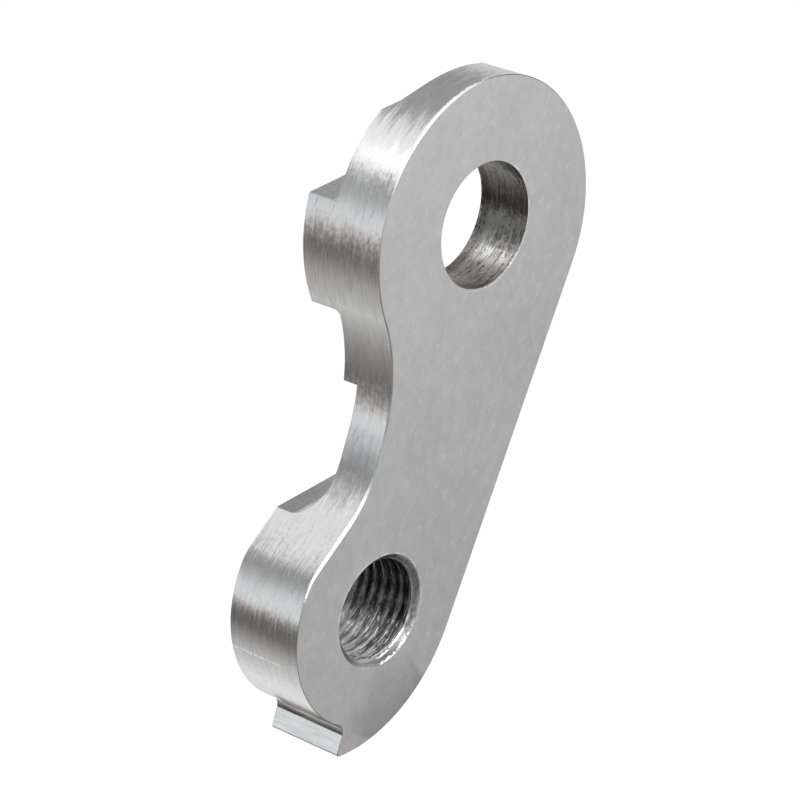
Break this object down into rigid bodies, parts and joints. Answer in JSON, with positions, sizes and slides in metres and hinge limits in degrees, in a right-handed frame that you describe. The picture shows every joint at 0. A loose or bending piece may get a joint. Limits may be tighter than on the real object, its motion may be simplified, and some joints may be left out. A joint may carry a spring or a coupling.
{
  "type": "bicycle derailleur hanger",
  "caption": "Replaceable rear derailleur hanger: a stepped aluminium plate with an axle bore, a threaded derailleur hole, a slot lug and a stop.",
  "frame": {"origin": "where the axle bore's axis meets the outer face", "axes": "+Z from the derailleur's threaded hole up to the axle bore, +Y from the outer face into the frame, -X towards the stop's side"},
  "size_m": [0.0262, 0.0084, 0.059],
  "materials": {
    "aluminium": "uncoated: satin outer face with a fine straight grain, brushed side walls, machined bores"
  },
  "bodies": {
    "root": {"hanger": "aluminium"}
  },
  "joints": []
}
